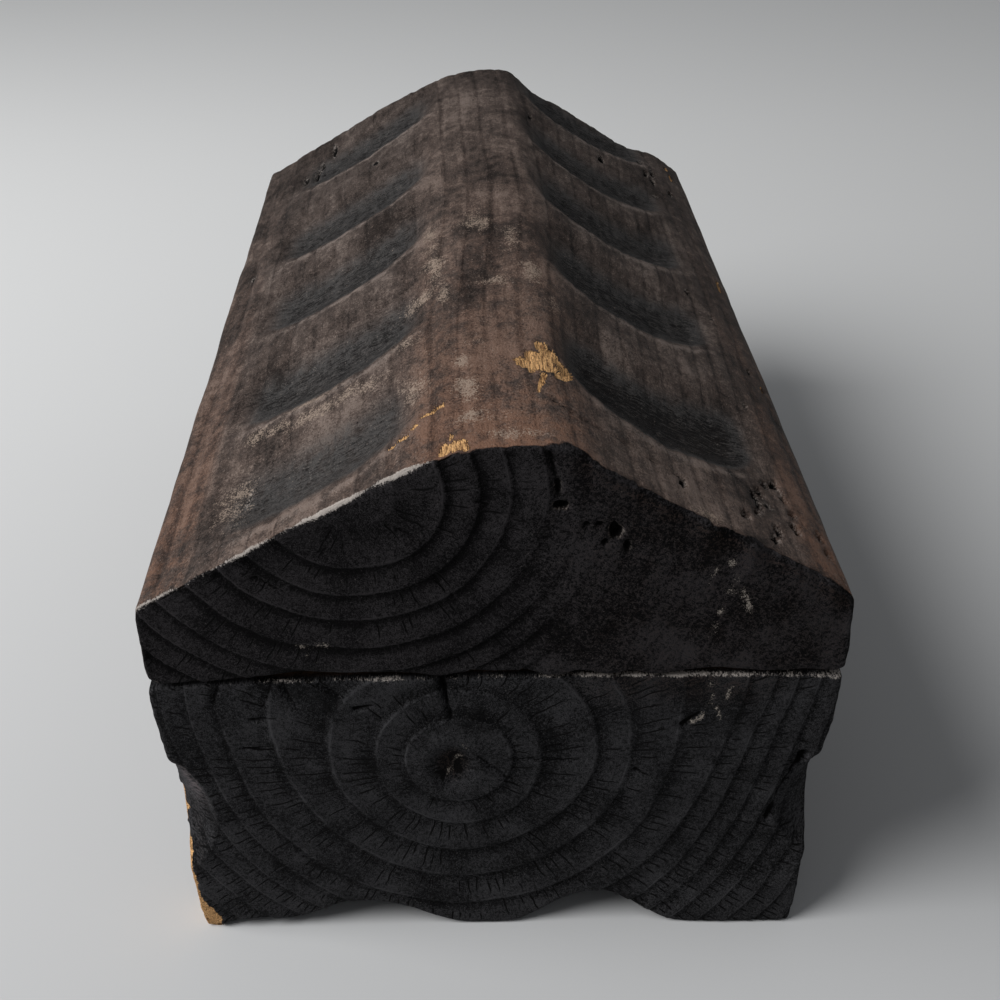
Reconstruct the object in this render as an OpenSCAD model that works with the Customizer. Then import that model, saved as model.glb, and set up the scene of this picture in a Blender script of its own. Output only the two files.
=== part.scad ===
// Carved wooden trinket box: a hollowed base block with notched corners and a scalloped skirt,
// and a gabled lid with gouged hollows on both slopes, kept in line by two pegs.
// Millimetres. +Z is up and the ridge runs along Y. The front end faces -Y.
// The origin is the centre of the underside, on the plane that the feet stand on.

/* [Box] */
// Length of the box from end to end
box_l = 208; // [190:1:230]
// Width of the base across its upright belt
base_w = 118; // [108:1:128]
// Height of the base, from the feet to the joint line
base_h = 61; // [56:1:72]
// Height of the lid, from the joint line to the ridge
lid_h = 45.5; // [42:0.5:52]

/* [Walls] */
// Thickness of the two long walls at the joint line
side_wall = 14; // [12:0.5:18]
// Thickness of the two end walls
end_wall = 16; // [14:0.5:22]
// Thickness of the floor
floor_t = 14; // [12:0.5:18]
// Radius of the upright corners inside
cavity_r = 6; // [3:0.5:10]

/* [Base sides] */
// Height of the upright belt under the joint line
belt_h = 15; // [12:1:18]
// How far each long side draws in from the belt to the feet
foot_draw = 2.5; // [0.5:0.5:4]
// Rounding along the top edge of each long side
belt_r = 2; // [1:0.5:4]

/* [Corner notches] */
// Height of the middle of the notch in each upright corner
notch_z = 30; // [27:1:33]
// Height of the mouth of the notch
notch_h = 27; // [20:1:30]
// How far the notch cuts into each of the two faces
notch_depth = 6.5; // [4:0.5:8]

/* [Scalloped skirt] */
// Width of one arch at the floor
arch_w = 28; // [25:1:31]
// Height of one arch at the face
arch_h = 8; // [6:0.5:9]
// How far in the arch runs out to nothing
arch_in = 18; // [14:1:24]
// Width of the lobe between two arches
lobe_w = 15; // [12:1:20]
// Least width of a corner foot
foot_w = 20; // [16:1:24]

/* [Roof] */
// How far the long sides of the lid stand back from the belt
lid_inset = 0; // [0:0.25:1.5]
// Height of the long sides of the lid, up to the eaves
eave_h = 16; // [13:0.5:20]
// Radius of the rounded ridge
crown_r = 30; // [24:1:36]
// Rounding along the eaves
eave_r = 1.5; // [1:0.5:4]
// Rounding along the lower edge of each long side of the lid
arris_r = 1.5; // [1:0.5:3]

/* [Lid inside] */
// Wood left above the vault, under the ridge
crown_t = 16; // [13:0.5:20]
// Height at which the vault springs from the rim
spring_h = 7; // [5:0.5:9]

/* [Gouged hollows] */
// Width of one hollow, along the box
hollow_w = 36; // [28:1:39]
// Length of one hollow, down the slope
hollow_l = 42; // [34:1:44]
// Depth of one hollow
hollow_d = 2.6; // [1.5:0.1:3.5]
// Length over which a hollow runs out at its upper and lower end
hollow_end = 12; // [8:0.5:16]
// Distance from one hollow to the next on the left slope
left_pitch = 41; // [40:0.5:48]
// Distance from one hollow to the next on the right slope
right_pitch = 40; // [40:0.5:48]
// Middle of the first hollow on the left slope, from the front end
first_left = 20; // [18:0.5:28]
// Middle of the first hollow on the right slope, from the front end
first_right = 39; // [34:0.5:48]
// Plain border between the hollows and the eaves
border_w = 9; // [7:0.5:11]

/* [Pegs] */
// Diameter of a locating peg
peg_d = 7; // [5:0.5:9]
// Length of a peg inside the base
peg_seat = 12; // [9:0.5:16]
// Length of a peg above the joint line
peg_proud = 8; // [5:0.5:11]
// Bevel around the tip of a peg
peg_bevel = 1; // [0.5:0.25:1.5]
// Radial clearance of a peg glued into the base
glue_fit = 0.02; // [0.01:0.01:0.05]
// Radial clearance of a peg in its socket in the lid
slide_fit = 0.1; // [0.05:0.01:0.1]
// Free space above the tip of a peg
tip_gap = 0.5; // [0.3:0.1:1]

/* [Hidden] */
$fn = 96;
spill = 1;                         // how far a cutter stands out of the face it cuts

char_black = [0.10, 0.095, 0.095];
worn_brown = [0.24, 0.19, 0.165];
peg_wood = [0.55, 0.40, 0.25];

taper_h = base_h - belt_h;         // the sides draw in below this height
cavity_l = box_l - 2 * end_wall;
cavity_w = base_w - 2 * side_wall;
peg_y = box_l / 2 - end_wall / 2;  // the pegs stand in the middle of the end walls

// The notch is a round gouge cut, level and square to the corner's diagonal
notch_sag = notch_depth / sqrt(2);
notch_r = arc_radius(notch_h, notch_sag);

// An arch is a conical gouge cut that runs out inward
arch_r = arc_radius(arch_w, arch_h);
arch_rate = arch_h / arch_in;
arch_run = arch_in + 3;
arch_pitch = arch_w + lobe_w;

// The slopes run from the eaves to touch the round of the ridge
lid_w = base_w - 2 * lid_inset;
crown_z = lid_h - crown_r;
eave_reach = norm([lid_w / 2, eave_h - crown_z]);
touch_a = atan2(eave_h - crown_z, lid_w / 2) + acos(crown_r / eave_reach);
touch_x = crown_r * cos(touch_a);
touch_z = crown_z + crown_r * sin(touch_a);
slope_a = 90 - touch_a;
slope_l = sqrt(pow(eave_reach, 2) - pow(crown_r, 2));
eave_t = eave_r / tan(45 + slope_a / 2);

vault_rise = lid_h - crown_t - spring_h;
vault_r = arc_radius(cavity_w, vault_rise);

// A hollow is a gouge stroke down the slope: one arc across it, and a rounder one where each end runs out
hollow_belt_r = arc_radius(hollow_w, hollow_d);
hollow_end_r = arc_radius(2 * hollow_end, hollow_d);
hollow_mid = slope_l - border_w - hollow_l / 2;

// Radius of an arc from its chord and its sagitta
function arc_radius(chord, sag) = (pow(chord / 2, 2) + pow(sag, 2)) / (2 * sag);

// Half width of the base at height z
function side_x(z) = base_w / 2 - foot_draw * max(0, 1 - z / taper_h);

// Number of skirt arches that a side of this length has room for
function arch_count(side) = floor((side - 2 * foot_w + lobe_w) / arch_pitch);

// Runs a section, drawn across the box, along the box from end to end
module along_box(length) {
    rotate([90, 0, 0])
        linear_extrude(height = length, center = true)
            children();
}

module round_rect(length, width, r) {
    square([width - 2 * r, length], center = true);
    square([width, length - 2 * r], center = true);
    for (sx = [-1, 1], sy = [-1, 1])
        translate([sx * (width / 2 - r), sy * (length / 2 - r)])
            circle(r = r);
}

module base_section() {
    top_x = base_w / 2;
    polygon([
        [-side_x(0), 0], [side_x(0), 0],
        [top_x, taper_h], [top_x, base_h - belt_r], [top_x - belt_r, base_h],
        [-top_x + belt_r, base_h], [-top_x, base_h - belt_r], [-top_x, taper_h]
    ]);
    for (side = [-1, 1])
        translate([side * (top_x - belt_r), base_h - belt_r])
            circle(r = belt_r);
}

module cavity() {
    translate([0, 0, floor_t])
        linear_extrude(height = base_h - floor_t + spill)
            round_rect(cavity_l, cavity_w, cavity_r);
}

module corner_notches() {
    for (sx = [-1, 1], sy = [-1, 1])
        translate([sx * side_x(notch_z), sy * box_l / 2, notch_z])
            rotate([0, 0, atan2(sy, sx)])
                translate([notch_r - notch_sag, 0, 0])
                    rotate([90, 0, 0])
                        cylinder(r = notch_r, h = 4 * notch_depth, center = true);
}

// One arch, cut into a face that looks along +X and stands at the origin
module arch_cutter() {
    translate([spill, 0, arch_h - arch_r])
        rotate([0, -90, 0])
            cylinder(r1 = arch_r + spill * arch_rate, r2 = arch_r - arch_run * arch_rate, h = spill + arch_run);
}

// The arches along a side of this length, in a face that stands this far from the middle
module skirt(side, face) {
    count = arch_count(side);
    for (i = [0 : 1 : count - 1])
        translate([face, (i - (count - 1) / 2) * arch_pitch, 0])
            arch_cutter();
}

module peg_bore(r, from, depth) {
    for (sy = [-1, 1])
        translate([0, sy * peg_y, from])
            cylinder(r = r, h = depth);
}

module base() {
    color(char_black)
    difference() {
        along_box(box_l)
            base_section();
        cavity();
        corner_notches();
        for (turn = [0, 180]) {
            rotate([0, 0, turn])
                skirt(box_l, side_x(0));
            rotate([0, 0, turn + 90])
                skirt(2 * side_x(0), box_l / 2);
        }
        peg_bore(peg_d / 2 + glue_fit, base_h - peg_seat, peg_seat + spill);
    }
}

module lid_section() {
    side = lid_w / 2;
    half = [
        [side - arris_r, 0], [side, arris_r], [side, eave_h - eave_t],
        [side - eave_t * cos(slope_a), eave_h + eave_t * sin(slope_a)],
        [touch_x, touch_z], [0, touch_z], [0, 0]
    ];
    for (m = [0, 1])
        mirror([m, 0]) {
            polygon(half);
            translate([side - arris_r, arris_r])
                circle(r = arris_r);
            translate([side - eave_r, eave_h - eave_t])
                circle(r = eave_r);
        }
    intersection() {
        translate([0, crown_z])
            circle(r = crown_r);
        translate([-touch_x, touch_z - spill])
            square([2 * touch_x, crown_r]);
    }
}

// Round-ended roller lying down the slope, with its lowest line along the bottom of the hollow
module hollow_cutter() {
    even = hollow_l / 2 - hollow_end;
    translate([0, 0, hollow_belt_r - hollow_d])
        rotate([0, 90, 0])
            rotate_extrude() {
                translate([0, -even])
                    square([hollow_belt_r, 2 * even]);
                for (end = [-even, even])
                    translate([hollow_belt_r - hollow_end_r, end])
                        circle(r = hollow_end_r);
            }
}

// The hollows of one slope, the first one this far from the front end
module hollow_row(first, pitch) {
    for (y = [first : pitch : box_l])
        translate([touch_x, y - box_l / 2, touch_z])
            rotate([0, slope_a, 0])
                translate([hollow_mid, 0, 0])
                    hollow_cutter();
}

module lid_hollow() {
    intersection() {
        translate([0, 0, -spill])
            linear_extrude(height = lid_h)
                round_rect(cavity_l, cavity_w, cavity_r);
        translate([0, 0, lid_h - crown_t - vault_r])
            rotate([90, 0, 0])
                cylinder(r = vault_r, h = box_l, center = true);
    }
}

module lid() {
    color(worn_brown)
    translate([0, 0, base_h])
    difference() {
        along_box(box_l)
            lid_section();
        lid_hollow();
        hollow_row(first_right, right_pitch);
        mirror([1, 0, 0])
            hollow_row(first_left, left_pitch);
        peg_bore(peg_d / 2 + slide_fit, -spill, spill + peg_proud + tip_gap);
    }
}

// A turned peg that stands on the floor of its bore, at this place along the box
module peg(y) {
    color(peg_wood)
    translate([0, y, base_h - peg_seat]) {
        cylinder(d = peg_d, h = peg_seat + peg_proud - peg_bevel);
        translate([0, 0, peg_seat + peg_proud - peg_bevel])
            cylinder(d1 = peg_d, d2 = peg_d - 2 * peg_bevel, h = peg_bevel);
    }
}

module front_peg() {
    peg(-peg_y);
}

module rear_peg() {
    peg(peg_y);
}

base();
lid();
front_peg();
rear_peg();
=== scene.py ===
"""Looks of the carved trinket box: both charred blocks rebuilt as dense carved meshes, with their wood."""
import math

import bmesh
import bpy
import numpy as np
from mathutils import Matrix, Vector
from mathutils.geometry import delaunay_2d_cdt


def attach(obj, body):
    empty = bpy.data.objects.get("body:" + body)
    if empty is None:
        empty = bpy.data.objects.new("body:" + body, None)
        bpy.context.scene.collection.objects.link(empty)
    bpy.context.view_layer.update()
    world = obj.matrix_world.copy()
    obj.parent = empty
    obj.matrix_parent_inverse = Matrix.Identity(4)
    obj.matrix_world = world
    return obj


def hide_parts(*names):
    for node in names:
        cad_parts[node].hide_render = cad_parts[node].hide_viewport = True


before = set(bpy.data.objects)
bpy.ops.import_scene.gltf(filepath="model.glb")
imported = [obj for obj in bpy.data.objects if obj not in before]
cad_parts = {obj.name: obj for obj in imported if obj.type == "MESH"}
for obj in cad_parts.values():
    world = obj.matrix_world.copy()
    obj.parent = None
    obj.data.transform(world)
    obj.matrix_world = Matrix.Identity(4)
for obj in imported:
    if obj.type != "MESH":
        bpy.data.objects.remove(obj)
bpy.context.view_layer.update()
scene = bpy.context.scene

# Lengths are in millimetres up to the meshes, which are made in metres
MM = 0.001
# Half length, half width at the feet and at the lid, and heights of the joint and the eaves
HALF_L, FOOT_X, LID_X = 104.0, 56.2, 59.0
JOINT_Z, EAVE_Z = 61.0, 77.0
# The two joint faces lie a hair apart
BASE_RIM, LID_RIM = JOINT_Z - 0.05, JOINT_Z + 0.08
# Half width, half length and corner radius of the cavity, and its floor
CAVITY = (45.0, 88.0, 6.0)
FLOOR_Z = 14.05
# Height of the axis of the lid's vault, and its radius
VAULT_Z, VAULT_R = 34.25, 56.25
PEG_Y, SOCKET_R, SOCKET_TOP = 96.0, 3.6, 69.5
# Where the slopes start, and how far a step down them goes sideways
SHOULDER_X, SLOPE_RUN = 11.5, 0.857
# What the mark "inside" says of a face
OUTSIDE, JOINT, INSIDE = 0.0, 0.6, 1.0
# The distance to a crack or hole where there is none
FAR = 5.0
CORNERS = ((-1, -1), (1, -1), (1, 1), (-1, 1))


# Numbers: noise, curves and shapes of steps

def smooth(lo, hi, t):
    """Runs smoothly from 0 at lo to 1 at hi"""
    u = np.clip((t - lo) / (hi - lo), 0, 1)
    return u * u * (3 - 2 * u)


def bell(t, width):
    """Falls smoothly from 1 on both sides of 0"""
    return np.exp(-(t / width) ** 2)


def lattice(ix, iy, iz, seed):
    """Repeatable numbers from 0 to 1 for whole-number places"""
    h = ix.astype(np.uint32) * np.uint32(374761393) + iy.astype(np.uint32) * np.uint32(668265263)
    h = h + iz.astype(np.uint32) * np.uint32(2246822519) + np.uint32(seed * 2654435761 % 4294967296)
    h = (h ^ (h >> np.uint32(15))) * np.uint32(2246822519)
    h = (h ^ (h >> np.uint32(13))) * np.uint32(3266489917)
    return (h ^ (h >> np.uint32(16))) / 4294967295.0


def noise(points, size, seed):
    """Smooth noise from -1 to 1, with lumps of this size (one length, or one for each axis)"""
    q = points / np.asarray(size, float)
    cell = np.floor(q).astype(np.int64)
    f = q - cell
    f = f * f * (3 - 2 * f)
    total = np.zeros(len(q))
    shares = 1 - f, f
    for dx, dy, dz in np.ndindex(2, 2, 2):
        w = shares[dx][:, 0] * shares[dy][:, 1] * shares[dz][:, 2]
        total += w * lattice(cell[:, 0] + dx, cell[:, 1] + dy, cell[:, 2] + dz, seed)
    return 2 * total - 1


def fractal(points, size, seed, octaves=3):
    """Noise with finer and weaker layers over it"""
    size = np.asarray(size, float)
    return sum(noise(points, size / 2 ** k, seed + k) / 2 ** k for k in range(octaves))


def along(t, size, seed):
    """Noise from -1 to 1 along one line"""
    t = np.asarray(t, float)
    return fractal(np.stack([t, 0 * t + 0.5, 0 * t + 0.5], 1), size, seed, 2)


def curve(knots, t):
    """Smooth curve through knots of (place, value)"""
    x, y = np.array(knots, float).T
    slope = np.gradient(y, x)
    t = np.clip(t, x[0], x[-1])
    i = np.clip(np.searchsorted(x, t) - 1, 0, len(x) - 2)
    h = x[i + 1] - x[i]
    u = (t - x[i]) / h
    rise = u * u * (3 - 2 * u)
    bend = u * (1 - u) * h * ((1 - u) * slope[i] - u * slope[i + 1])
    return y[i] * (1 - rise) + y[i + 1] * rise + bend


def quarter(r, t):
    """Setback of a round edge of radius r, this far past its start"""
    return r - np.sqrt(np.maximum(r * r - np.clip(t, 0, r) ** 2, 0))


# Growth rings, the same on the end grain and, along the block, on every other side

BASE_PITH, LID_PITH = (-8.0, 41.0), (-22.0, 98.0)
# Radii of each ring in steps of 45 degrees, from the right round through up
BASE_RINGS = np.array([
    (10, 11, 10.7, 9.5, 8, 7.5, 8, 9),
    (15, 16.5, 17, 15, 13, 12.6, 13.7, 14.9),
    (25, 27, 22, 24, 20.8, 19, 20.7, 21.5),
    (31, 33.5, 30, 37, 29.2, 26, 27.4, 28.5),
    (38.5, 46, 42, 47, 37.3, 34, 34.8, 36),
    (46.5, 62, 52, 54, 42.2, 39, 41, 43),
    (51, 68, 57, 60, 46.5, 43.5, 45.5, 48.5),
])
LID_STRETCH = np.array([1, 1, 1.05, 1.12, 1.12, 1.08, 1, 1])
LID_RINGS = np.array([6, 13.5, 18.7, 23.6, 29.4, 34.8])[:, None] * LID_STRETCH
RING_PITCH = 4.2


def ring_number(p, pith, table):
    """How many rings lie inside a point; whole numbers are the hard crests"""
    fade = 1 - np.exp(-(p[:, 1] + HALF_L) / 50)
    dx = p[:, 0] - pith[0] + 2.5 * fade * along(p[:, 1], 70, 11)
    dz = p[:, 2] - pith[1] + 2.0 * fade * along(p[:, 1], 60, 12)
    r = np.hypot(dx, dz) + 0.35 * noise(p, (7, 60, 7), 13)
    k = np.arctan2(dz, dx) % (2 * np.pi) / (2 * np.pi) * table.shape[1]
    i = np.floor(k).astype(int)
    f = k - i
    a, b, c, d = (table[:, (i + n) % table.shape[1]] for n in (-1, 0, 1, 2))
    bend = f * f * (a - 2.5 * b + 2 * c - d / 2) + f ** 3 * (1.5 * (b - c) + (d - a) / 2)
    radii = b + f * (c - a) / 2 + bend
    inner = np.vstack([0 * radii[:1], radii[:-1]])
    rings = np.clip((r - inner) / (radii - inner), 0, 1).sum(0)
    return rings + np.maximum(r - radii[-1], 0) / RING_PITCH


def ring_relief(rings):
    """Height of worn end grain: a hard crest at each ring, and soft wood worn away outside it"""
    f = rings - np.floor(rings)
    worn = smooth(0.0, 0.12, f) * (1 - f) ** 1.8
    return 0.1 * bell(np.minimum(f, 1 - f), 0.06) - 0.4 * worn


# Marks placed one by one: cracks, insect holes and chips

# Cracks in an end: the two ends of each, its width at the first, its depth, and its width at the other
BASE_CRACKS = (
    (-9.7, 62, -8, 51, 1.1, 2.2, 0.1), (-47, 61.5, -48.4, 55.6, 0.45, 0.8, 0.2),
    (-38.2, 60.6, -40, 55.2, 0.5, 0.7, 0.25), (-36.4, 60.2, -34.4, 54.6, 0.5, 0.7, 0.25),
    (-30.6, 60, -26, 57, 0.6, 0.8, 0.3), (-24.6, 54.6, -21.6, 55.4, 0.8, 0.8, 0.4),
    (54.4, 42, 49.4, 26.2, 1.3, 2, 0.9), (32, 49.6, 34.8, 52.4, 1, 0.9, 0.5),
    (2, 42.4, 15.4, 41.6, 0.35, 0.5, 0.3), (8, 44.6, 13.4, 46.2, 0.4, 0.4, 0.2),
    (-3.4, 43, 1.6, 38.4, 0.5, 0.6, 0.3), (1, 38.4, 5.2, 35.2, 0.4, 0.5, 0.2),
    (24.4, 39.2, 26.8, 37.6, 0.7, 0.6, 0.4), (-42.6, 52.4, -38, 52.8, 0.7, 0.6, 0.3),
    (-44.2, 46, -38.6, 46.4, 0.5, 0.5, 0.3),
)
LID_CRACKS = (
    (7.6, 107, 9.2, 98, 0.5, 0.9, 0.9), (-12.3, 85, -7, 77.8, 0.4, 0.6, 0.2),
    (-39, 82.4, -33.4, 78.8, 0.6, 0.7, 0.3), (-3.4, 96.6, 3.4, 93.4, 0.4, 0.5, 0.2),
    (7.4, 78.2, 13.6, 72.2, 0.3, 0.4, 0.2), (15.5, 78.5, 20.5, 73.5, 0.3, 0.4, 0.2),
    (-26, 92.4, -28.4, 86.4, 0.35, 0.5, 0.2), (-15.6, 91.6, -11, 88.4, 0.4, 0.5, 0.2),
)
REAR_CRACKS = (
    (-6.4, 62, -7.6, 49, 0.9, 1.8, 0.2), (30, 60, 27, 52, 0.5, 0.8, 0.2), (-20, 92, -9, 80, 0.6, 0.9, 0.2),
)
# Cracks along the roof, by (x, distance from the front end)
ROOF_CRACKS = (
    (9.1, 16, 13.4, 13.1, 0.6, 0.5, 0.3), (13.4, 13.1, 20.1, 13, 0.3, 0.4, 0.2),
    (20.1, 13, 30.9, 11.1, 0.2, 0.4, 0.5),
)
# Darker lines of grain along the roof, set down in the same way
ROOF_GRAIN = (
    (-4.6, 66, -3, 34), (-3, 34, -2.2, 2), (1.7, 104, 1.1, 56), (1.1, 56, 1.6, 30), (-56.4, 4, -55.2, 70),
    (-52.8, 10, -51.8, 120), (38, 12, 37, 60), (46, 20, 45, 90), (-48.4, 6, -49, 60), (9.6, 60, 9, 120),
)
# Light fibres that stick out of an end, from one end of each to the other
BASE_FIBRES = (
    (36.2, 60.2, 37, 55.6), (37, 56, 35.2, 51.4), (37.6, 54.4, 38.8, 50.8), (33.6, 50.2, 35.4, 51.8),
    (-6.4, 46.4, -5.4, 45.2), (-6.6, 42.6, -9, 38.6), (40.2, 58, 39.4, 54.4),
)
LID_FIBRES = (
    (37.4, 84.4, 38.8, 79.6), (38.6, 80.4, 36.6, 74.4), (39.6, 79.4, 41.6, 74.2), (37.2, 77.4, 35.8, 69.6),
    (38, 84.6, 40.2, 83), (35.4, 83, 34.4, 80.4), (-33.6, 68.8, -28.4, 68.9), (-31, 69, -31.4, 66.8),
)


def near_line(x, z, line, wander=0.22):
    """Distance from a line in an end face, and the share of the way along it"""
    ax, az, bx, bz = line[:4]
    t = np.clip(((x - ax) * (bx - ax) + (z - az) * (bz - az)) / ((bx - ax) ** 2 + (bz - az) ** 2), 0, 1)
    shift = wander * along(z + 3 * x, 2.2, 77)
    return np.hypot(x - ax - t * (bx - ax) + shift, z - az - t * (bz - az)), t


def cracks(x, z, face, lines):
    """Distance outside the nearest crack's edge, and the depth of the cracks, where face is over 0"""
    edge, depth = np.full(len(x), FAR), 0 * x
    for line in lines:
        d, t = near_line(x, z, line)
        width = line[4] + (line[6] - line[4]) * t
        edge = np.minimum(edge, np.where(face > 0.1, d - 0.5 * width, FAR))
        depth = np.maximum(depth, line[5] * (1 - smooth(0.2 * width, 0.25 + 0.75 * width, d)) * (1 - 0.6 * t))
    return edge, depth * face


def all_cracks(*sets):
    """The same for cracks in several faces"""
    edges, depths = zip(*(cracks(*one) for one in sets))
    return np.min(edges, 0), sum(depths)


def fibres_near(x, z, lines):
    """Ragged marks along lines, over 0.5 near them"""
    nearest = np.min([near_line(x, z, line, 0.5)[0] for line in lines], 0)
    broken = 0.35 + 0.65 * noise(np.column_stack([x, 0 * x, z]), 1.4, 78)
    return np.clip(0.9 - nearest / 1.1, 0, 1) * (0.6 + broken)


# Insect holes and dents in each slope: place from the front end, place down the slope, half sizes, depth
RIGHT_HOLES = (
    (9.3, 34.6, 1.3, 0.8, 2), (6, 40, 1.1, 0.8, 1.6), (9.4, 41.4, 1.4, 0.9, 2), (12.4, 37.8, 0.9, 0.6, 1.6),
    (15, 38.8, 1.6, 0.6, 1.5), (18.2, 38.4, 1.4, 0.7, 1.6), (20.4, 40.4, 1.2, 0.9, 1.8),
    (16.6, 41, 0.6, 0.9, 1), (13, 46.2, 1.5, 1, 2.2), (17.7, 46.4, 1, 0.9, 2), (22.3, 45.7, 1.1, 0.8, 1.8),
    (26, 44.9, 1.5, 1, 2), (24.6, 42.3, 1, 0.8, 1.5), (10.2, 52.2, 1.5, 0.9, 2.2),
    (14.9, 51.9, 1.3, 0.9, 2), (10, 22, 1.3, 0.6, 1.2), (75, 50.4, 1.1, 0.6, 1), (96, 45, 0.8, 0.5, 0.8),
    (105.4, 40.2, 1, 0.6, 1.2), (56, 45, 0.7, 0.5, 0.7), (175, 2.6, 1.2, 0.6, 1), (175.5, 25, 1.8, 1, 1.5),
    (190, 31, 1.4, 0.8, 1.5), (181, 42.5, 2.4, 0.7, 1.8), (184.5, 40.6, 1.9, 0.7, 1.6),
    (188, 43.4, 2.4, 0.8, 1.8), (170, 41.5, 0.9, 0.6, 1), (193, 40, 2.6, 0.6, 1.6),
    (176.5, 47.4, 2, 0.6, 1.4),
)
LEFT_HOLES = (
    (186.5, 37.6, 4.6, 0.9, 2.2), (183.6, 41, 3.6, 0.7, 1.8), (197.5, 32.6, 2.8, 0.7, 1.5),
    (191.8, 36.2, 2, 0.6, 1.2), (21, 35.8, 1.8, 0.35, 0.6), (126, 50, 1.5, 0.5, 0.5),
    (160, 17, 1.4, 0.9, 0.5),
)
# The same in the front end, by (x, height)
END_HOLES = (
    (9.6, 95.7, 1.2, 1, 2), (18.4, 90.9, 1, 1.5, 1.8), (20.4, 87.8, 0.6, 1.5, 1.2),
    (13.8, 92, 0.7, 0.5, 0.9), (15.8, 92, 0.8, 0.5, 1), (16.8, 88.6, 0.7, 0.6, 0.9),
    (9.2, 98.6, 0.5, 1.6, 0.9),
)


def hole_edges(p, holes, seed):
    """Distance outside the nearest hole's edge, and the depth of what is dug out, at points (n, 2)"""
    edge, depth = np.full(len(p), FAR), np.zeros(len(p))
    uneven = 0.35 * noise(np.column_stack([p, 0 * p[:, 0]]), 0.9, seed)
    for cx, cy, rx, ry, deep in holes:
        d = np.hypot((p[:, 0] - cx) / rx, (p[:, 1] - cy) / ry) + uneven
        edge = np.minimum(edge, (d - 1) * min(rx, ry))
        depth = np.maximum(depth, deep * (1 - smooth(0.5, 1.3, d)))
    return edge, depth


def blots(p, spots, seed, size=2.5, rough=0.22):
    """Ragged patches, over 0.5 inside: spots of (x, y, half length along x, half length along y)"""
    nearest = np.min([np.hypot((p[:, 0] - cx) / rx, (p[:, 1] - cy) / ry) for cx, cy, rx, ry in spots], 0)
    flat = np.column_stack([p, 0 * p[:, 0]])
    return np.clip(1.5 - nearest + rough * fractal(flat, size, seed), 0, 1.5)


# Bare orange wood on top of the lid: (x, distance from the front end, half sizes)
TOP_CHIPS = (
    (8, 29, 3, 4.2), (5.8, 28.2, 2.4, 2), (8.3, 34.6, 1.1, 1.9), (9.6, 33, 1.3, 1.8), (10.9, 31, 1.4, 1.8),
    (12.1, 28.8, 1.3, 1.8), (12.8, 26.4, 1, 1.6), (11.4, 25.2, 1.3, 1.2), (4, 29.4, 1.2, 0.9),
    (6.5, 31.6, 1.2, 1.7), (8.2, 23.6, 0.5, 1.8), (7.8, 21.4, 0.45, 1.8), (7.3, 19.2, 0.4, 1.4),
    (-6.2, 2.8, 1.6, 1.9), (-8.4, 2.6, 0.9, 2), (-5, 1.6, 0.9, 1.1), (-7.2, 5.6, 0.5, 1.2),
    (-9, 16.9, 1.3, 0.5), (-11.2, 15.5, 1.1, 0.7), (-13.2, 13, 0.9, 0.8), (-15, 10.9, 0.9, 0.7),
    (-16.8, 9.3, 0.8, 0.5),
)
# Paler rubbed wood on top of the lid, set down in the same way
SCUFFS = (
    (-10.2, 74, 2.2, 13), (-13, 63, 3.4, 3.4), (-8.6, 61, 1.2, 5), (-11.4, 92, 1.8, 6), (1.2, 63, 3, 2.6),
    (8.6, 67, 3, 6), (4.8, 84, 2.4, 7), (-5.6, 31, 1.3, 2.2), (-3.6, 11, 4.5, 2.4), (-1.6, 37, 3.6, 1.4),
    (-4.6, 20, 2, 5), (11.8, 53, 2, 4), (-13.6, 28, 3, 6), (-15.4, 45, 2.4, 3), (-2, 94, 3, 6),
    (-44, 20, 3, 9), (-38, 38, 4, 2), (-43, 40, 2, 3), (-28, 37, 9, 2.4), (-33, 42, 6, 2), (3, 4, 5, 1.6),
    (34, 3, 4, 1.8),
)
# Raw wood along the right eave: (distance from the front end, height, half sizes)
EAVE_CHIPS = ((194, 79.4, 2.6, 0.45), (200, 79.8, 1, 0.5), (121, 78.4, 3, 0.4), (70, 78, 1.6, 0.35))
# How far in from the side the outer edge of the left front corner is bare, by height
FOOT_CHIP = (
    (0, 3.9), (3, 3.6), (6, 2.4), (9, 1.3), (13, 0.9), (17, 0.75), (20, 0.35), (25, 0.6), (30, 0.5),
    (33, 0.1),
)


# Meshes: each block is one closed shell, put together from rows of points and filled outlines

# Spacing of the points in a flat face: plain ones, the joint, the lid's front and rear, the sockets
PLAIN_STEP, JOINT_STEP, FRONT_STEP, REAR_STEP, SOCKET_STEP = 2.6, 2.2, 0.62, 1.3, 1.5
# Shares of that: how far apart the rows lie, and how far points stay from the outline
ROW_SHARE, EDGE_SHARE = 0.87, 0.55


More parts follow.
